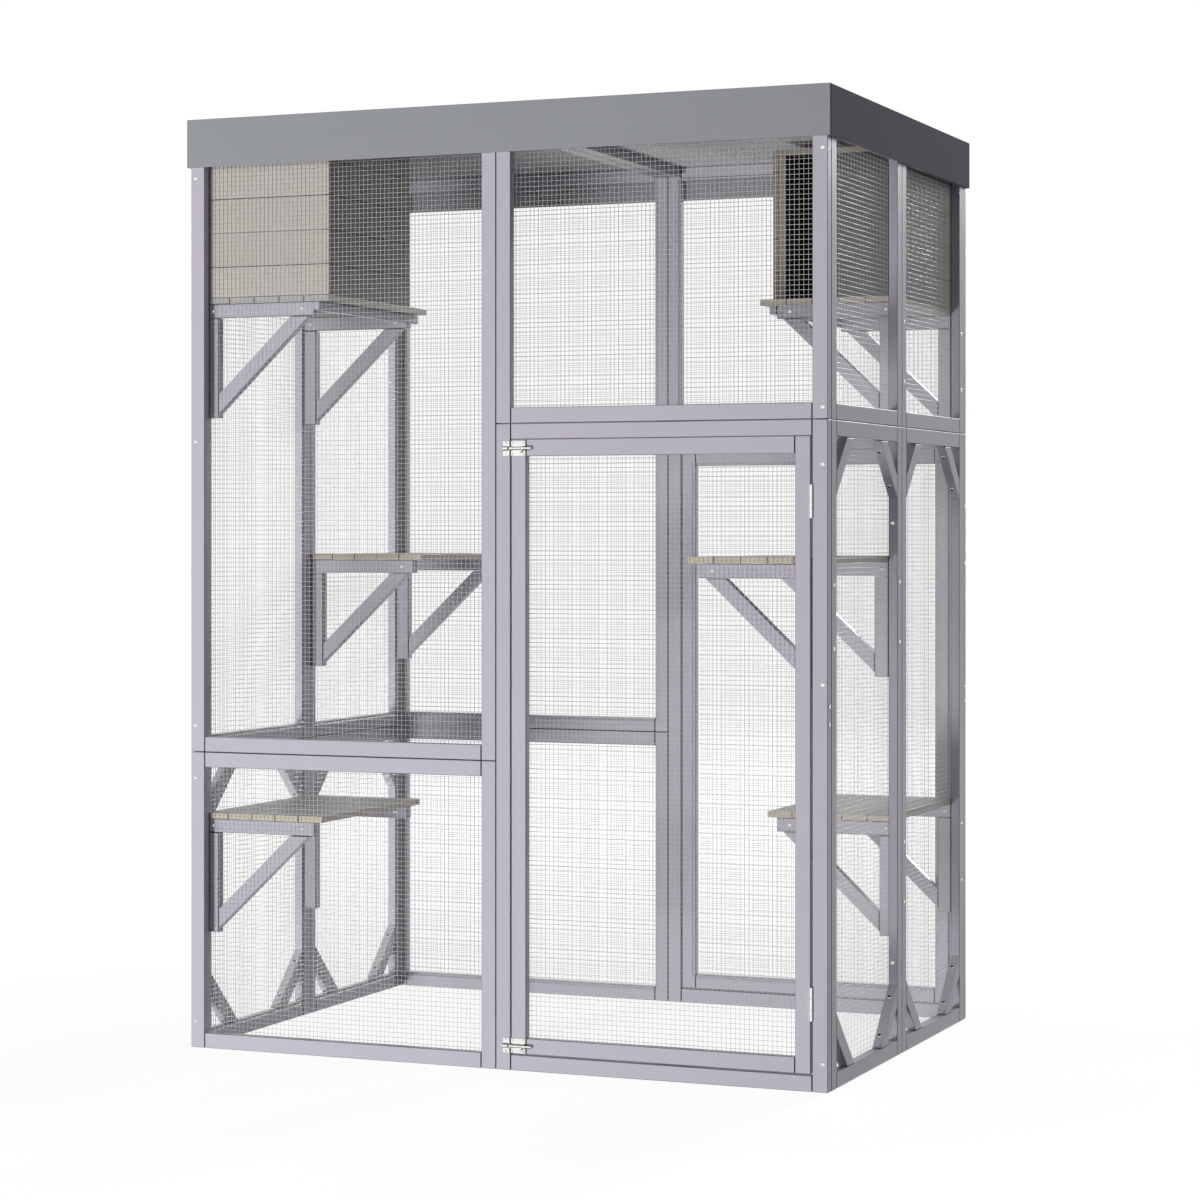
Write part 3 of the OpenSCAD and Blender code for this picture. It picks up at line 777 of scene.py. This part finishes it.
def screw_tree():
    """Screw heads on points, each standing along the point's own direction and turned at random."""
    tree, given = new_tree("screw_heads", {"Head": "Object", "Seed": "Int", "Material": "Material"})
    head = add(tree, "GeometryNodeObjectInfo", {"Object": given["Head"]}).outputs["Geometry"]
    facing, size = (
        add(tree, "GeometryNodeInputNamedAttribute", {"Name": name}, data_type="FLOAT_VECTOR")
        for name in ("facing", "head_size"))
    turn = add(tree, "FunctionNodeRandomValue", {
        "Min": (0, 0, 0), "Max": (0, 0, math.pi), "Seed": given["Seed"]}, data_type="FLOAT_VECTOR")
    spun = add(tree, "FunctionNodeEulerToRotation", {"Euler": turn.outputs["Value"]}).outputs["Rotation"]
    stood = add(tree, "FunctionNodeAlignRotationToVector", {
        "Rotation": spun, "Vector": facing.outputs["Attribute"]}, axis="Z").outputs["Rotation"]
    placed = add(tree, "GeometryNodeInstanceOnPoints", {
        "Points": given["Geometry"], "Instance": head, "Rotation": stood,
        "Scale": size.outputs["Attribute"]})
    finish_tree(tree, placed.outputs["Instances"], given["Material"])
    return tree


def screw_seats(node):
    """Where the node's screw heads sit: the seat's middle, the way out and the size of each."""
    shape = merged_copy(node)
    solid_parts = solids_tree(body_of(node))
    seats = []
    for head in solids(shape):
        centre = sum((vertex.co for vertex in head), Vector()) / len(head)
        ends = {face for vertex in head for face in vertex.link_faces}
        outwards = max(ends, key=lambda face: face.calc_area()).normal.copy()
        heights = [(vertex.co - centre) @ outwards for vertex in head]
        tall = max(heights) - min(heights)
        wide = 2 * max(((vertex.co - centre).cross(outwards)).length for vertex in head)
        # Both ends of a plain head are equally large, and the one against a solid is its seat
        if solid_parts.ray_cast(centre, outwards, 0.8 * tall)[0] is not None:
            outwards.negate()
        seats.append((centre - outwards * tall / 2, outwards, Vector((wide, wide, tall))))
    shape.free()
    return seats


def drive_screws(tree, head, node):
    """Replaces a node of plain screw heads by heads with a cross recess."""
    seats = screw_seats(node)
    points = bpy.data.meshes.new("screw_seats")
    points.from_pydata([seat[0] for seat in seats], [], [])
    for name, place in (("facing", 1), ("head_size", 2)):
        layer = points.attributes.new(name, "FLOAT_VECTOR", "POINT")
        for item, seat in zip(layer.data, seats):
            item.vector = seat[place]
    hardware = bpy.context.scene.catio_hardware
    heads = run_tree(tree, points, {
        "Head": head, "Seed": hardware.turn_seed, "Material": material_for("nickel_hardware")})
    add_mesh_piece(node + "_heads", heads, "nickel_hardware", body_of(node), node, smooth_angle=40)


# Stage

def sees_background(tree):
    """One where a camera, mirror or glass ray looks, so that all of them meet a white studio."""
    path = add(tree, "ShaderNodeLightPath").outputs
    seen = calculate(tree, "MAXIMUM", path["Is Camera Ray"], path["Is Glossy Ray"])
    return calculate(tree, "MAXIMUM", seen, path["Is Transmission Ray"])


def mixed(tree, share, first, second):
    """One shader where the share is nought, the other where it is one."""
    return add(tree, "ShaderNodeMixShader", {0: share, 1: first, 2: second}).outputs["Shader"]


def floor_material():
    """A floor that looks white but for the object's shadow, and that the low lamp shines through."""
    material, tree = new_material("studio_floor", (0.9, 0.9, 0.9))
    plain = add(tree, "ShaderNodeBsdfDiffuse", {"Color": FLOOR_COLOUR}).outputs["BSDF"]
    away = add(tree, "ShaderNodeVectorMath", {0: object_place(tree)}, operation="LENGTH").outputs["Value"]
    strength = spread(tree, away, *FLOOR_GLOW, *FLOOR_DISTANCES)
    glow = add(tree, "ShaderNodeEmission", {"Color": WHITE, "Strength": strength}).outputs["Emission"]
    veil = add(tree, "ShaderNodeBsdfDiffuse", {"Color": FLOOR_VEIL}).outputs["BSDF"]
    bright = add(tree, "ShaderNodeAddShader", {0: glow, 1: veil}).outputs["Shader"]
    floor = mixed(tree, sees_background(tree), plain, bright)
    clear = add(tree, "ShaderNodeBsdfTransparent").outputs["BSDF"]
    shadow_ray = add(tree, "ShaderNodeLightPath").outputs["Is Shadow Ray"]
    add(tree, "ShaderNodeOutputMaterial", {"Surface": mixed(tree, shadow_ray, floor, clear)})
    return material


def lay_floor():
    """Lays the floor at ground level."""
    mesh = bpy.data.meshes.new("floor")
    ends = ((-1, -1), (1, -1), (1, 1), (-1, 1))
    mesh.from_pydata([(x * FLOOR_REACH, y * FLOOR_REACH, 0) for x, y in ends], [], [(0, 1, 2, 3)])
    mesh.materials.append(floor_material())
    floor = bpy.data.objects.new("floor", mesh)
    bpy.context.scene.collection.objects.link(floor)


def surround(ambient):
    """Sets the faint light from all round, and the white that the camera and reflections see."""
    world = bpy.data.worlds.new("studio")
    world.use_nodes = True
    tree = world.node_tree
    tree.nodes.clear()
    bpy.context.scene.world = world
    faint = add(tree, "ShaderNodeBackground", {"Color": AMBIENT_COLOUR, "Strength": ambient})
    white = add(tree, "ShaderNodeBackground", {"Color": WHITE, "Strength": 1.0})
    add(tree, "ShaderNodeOutputWorld", {"Surface": mixed(
        tree, sees_background(tree), faint.outputs["Background"], white.outputs["Background"])})


def place_lamp(name, power, place, size, shine):
    """Sets a flat lamp that points at the object and doesn't show in the picture."""
    data = bpy.data.lights.new(name, "AREA")
    data.shape = "RECTANGLE"
    data.size, data.size_y = size
    data.energy = power
    lamp = bpy.data.objects.new(name, data)
    lamp.location = place
    lamp.rotation_euler = (Vector(LAMP_AIM) - Vector(place)).to_track_quat("-Z", "Y").to_euler()
    lamp.visible_camera = False
    lamp.visible_glossy = shine
    bpy.context.scene.collection.objects.link(lamp)


def place_camera(stage):
    """Sets the camera level, with its view shifted down so that uprights stay upright."""
    view = bpy.data.cameras.new("camera")
    view.sensor_width = 36
    view.lens = stage.lens
    view.shift_y = stage.camera_shift
    camera = bpy.data.objects.new("camera", view)
    camera.location = stage.camera_place
    camera.rotation_euler = (math.pi / 2, 0, stage.camera_turn)
    bpy.context.scene.collection.objects.link(camera)
    bpy.context.scene.camera = camera


# Operators

class CATIO_OT_timber_frame(bpy.types.Operator):
    """Dress the wall panels, doors, braces, brackets and roof beams"""

    bl_idname = "catio.timber_frame"
    bl_label = "Timber frame"

    def execute(self, context):
        timber = context.scene.catio_timber
        inner = [f"{side}_{kind}" for side in SIDES for kind in ("corner_braces", "brackets")]
        for node in WALL_PANELS + inner:
            dress_boards(node, timber.strip_round, timber.parting)
        for end in ENDS:
            dress_boards(
                f"{end}_door_frame", timber.strip_round, timber.parting, growth=timber.door_growth)
        # The roof beams take painted shade
        dress_boards("roof_beams", timber.strip_round, timber.parting, painted_shade_factor=timber.beam_painted_shade)
        return {"FINISHED"}


class CATIO_OT_shelves(bpy.types.Operator):
    """Dress the shelf planks, grey on their faces and pale where they are sawn"""

    bl_idname = "catio.shelves"
    bl_label = "Shelves"

    def execute(self, context):
        timber = context.scene.catio_timber
        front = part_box("left_high_shelf")[0][1]

        def is_side(face):
            """The edges and ends of a plank, which stand upright."""
            return abs(face.normal.z) < 0.5

        def is_open_side(face):
            """The edge below the front of the left nest box is painted like the box."""
            return is_side(face) and face.calc_center_median().y > front + 2 * MM

        for side in SIDES:
            for level in LEVELS:
                test = is_open_side if (side, level) == ("left", "high") else is_side
                dress_boards(
                    f"{side}_{level}_shelf", timber.shelf_round, timber.plank_parting, is_sawn=test)
        return {"FINISHED"}


class CATIO_OT_nest_boxes(bpy.types.Operator):
    """Dress the nest boxes with grooved boards"""

    bl_idname = "catio.nest_boxes"
    bl_label = "Nest boxes"

    def execute(self, context):
        timber = context.scene.catio_timber
        for side in SIDES:
            low, high = (Vector(corner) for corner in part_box(f"{side}_nest_walls"))
            middle = (low + high) / 2
            open_end = 1 if side == "left" else -1

            def faces_in(face):
                """The faces that look into the box, apart from those at its open end; these get painted
                shade.
                """
                towards = middle - face.calc_center_median()
                return face.normal.dot(towards) > 0 and face.normal.y * open_end < 0.5

            def is_end(face):
                """The sawn ends of the boards and posts at the box's open end."""
                outwards = (face.calc_center_median().y - middle.y) * open_end
                return abs(face.normal.y) > 0.5 and outwards > 0

            for kind in ("walls", "posts", "top"):
                dress_boards(
                    f"{side}_nest_{kind}", timber.nest_round, timber.plank_parting,
                    is_sawn=is_end, is_inner=faces_in)
        return {"FINISHED"}


class CATIO_OT_roof(bpy.types.Operator):
    """Dress the roof decks, the fascia and the roofing felt"""

    bl_idname = "catio.roof"
    bl_label = "Roof"

    def execute(self, context):
        timber = context.scene.catio_timber
        for node in ("right_roof_deck", "fascia", "roof_felt"):
            dress_boards(node, timber.roof_round, timber.plank_parting)
        # The left roof boards take painted shade
        dress_boards(
            "left_roof_deck", timber.roof_round, timber.plank_parting, painted_shade_factor=timber.left_deck_painted_shade)
        return {"FINISHED"}


class CATIO_OT_nets(bpy.types.Operator):
    """Weld the wire nets of the walls and doors"""

    bl_idname = "catio.nets"
    bl_label = "Wire nets"

    def execute(self, context):
        tree = net_tree()
        for node in [f"{wall}_nets" for wall in ENDS + SIDES] + [f"{end}_door_net" for end in ENDS]:
            stretch_net(tree, node)
        return {"FINISHED"}


class CATIO_OT_hardware(bpy.types.Operator):
    """Plate the hinges and the barrel bolts"""

    bl_idname = "catio.hardware"
    bl_label = "Hinges and bolts"

    def execute(self, context):
        hardware = context.scene.catio_hardware
        nodes = ["hinge_post_leaves", "hinge_pins", "bolt_keepers"]
        for end in ENDS:
            nodes += [f"{end}_hinge_door_leaves", f"{end}_bolt_plates"]
            for level in ("top", "bottom"):
                dress_metal(f"{end}_{level}_bolt", hardware.plate_round, hardware.rod_slimness)
        for node in nodes:
            dress_metal(node, hardware.plate_round)
        return {"FINISHED"}


class CATIO_OT_screws(bpy.types.Operator):
    """Drive the cross-recessed screws"""

    bl_idname = "catio.screws"
    bl_label = "Screws"

    def execute(self, context):
        head = bpy.data.objects.new("head", screw_head(context.scene.catio_hardware.recess_depth))
        context.scene.collection.objects.link(head)
        tree = screw_tree()
        for node in ["frame_screws"] + [f"{end}_door_screws" for end in ENDS]:
            drive_screws(tree, head, node)
        bpy.data.objects.remove(head)
        return {"FINISHED"}


class CATIO_OT_stage(bpy.types.Operator):
    """Set the floor, the lamps, the white surroundings and the camera"""

    bl_idname = "catio.stage"
    bl_label = "Stage"

    def execute(self, context):
        stage = context.scene.catio_stage
        lay_floor()
        surround(stage.ambient)
        for name, lamp in LAMPS.items():
            place_lamp(f"{name}_lamp", getattr(stage, f"{name}_power"), **lamp)
        place_camera(stage)
        context.scene.view_settings.view_transform = "Standard"
        return {"FINISHED"}


OPERATORS = (
    CATIO_OT_timber_frame, CATIO_OT_shelves, CATIO_OT_nest_boxes, CATIO_OT_roof,
    CATIO_OT_nets, CATIO_OT_hardware, CATIO_OT_screws, CATIO_OT_stage)
SETTINGS = {
    "catio_timber": TimberSettings, "catio_nets": NetSettings,
    "catio_hardware": HardwareSettings, "catio_stage": StageSettings}


class CATIO_PT_panel(bpy.types.Panel):
    """Lists the steps that dress the catio, and their settings"""

    bl_idname = "CATIO_PT_panel"
    bl_label = "Catio"
    bl_space_type = "VIEW_3D"
    bl_region_type = "UI"
    bl_category = "Catio"

    def draw(self, context):
        for name in SETTINGS:
            group = getattr(context.scene, name)
            box = self.layout.box()
            for setting in group.bl_rna.properties:
                if setting.identifier not in ("name", "rna_type"):
                    box.prop(group, setting.identifier)
        for operator in OPERATORS:
            self.layout.operator(operator.bl_idname)


def register():
    """Registers the settings, the operators and the panel."""
    for name, group in SETTINGS.items():
        bpy.utils.register_class(group)
        setattr(bpy.types.Scene, name, PointerProperty(type=group))
    for operator in OPERATORS:
        bpy.utils.register_class(operator)
    bpy.utils.register_class(CATIO_PT_panel)


def unregister():
    """Takes the panel, the operators and the settings away again."""
    bpy.utils.unregister_class(CATIO_PT_panel)
    for operator in reversed(OPERATORS):
        bpy.utils.unregister_class(operator)
    for name, group in SETTINGS.items():
        delattr(bpy.types.Scene, name)
        bpy.utils.unregister_class(group)


def main():
    """Dresses the whole object."""
    register()
    bpy.ops.catio.stage()
    bpy.ops.catio.timber_frame()
    bpy.ops.catio.shelves()
    bpy.ops.catio.nest_boxes()
    bpy.ops.catio.roof()
    bpy.ops.catio.nets()
    bpy.ops.catio.hardware()
    bpy.ops.catio.screws()
    bpy.context.view_layer.update()


if __name__ == "__main__":
    main()
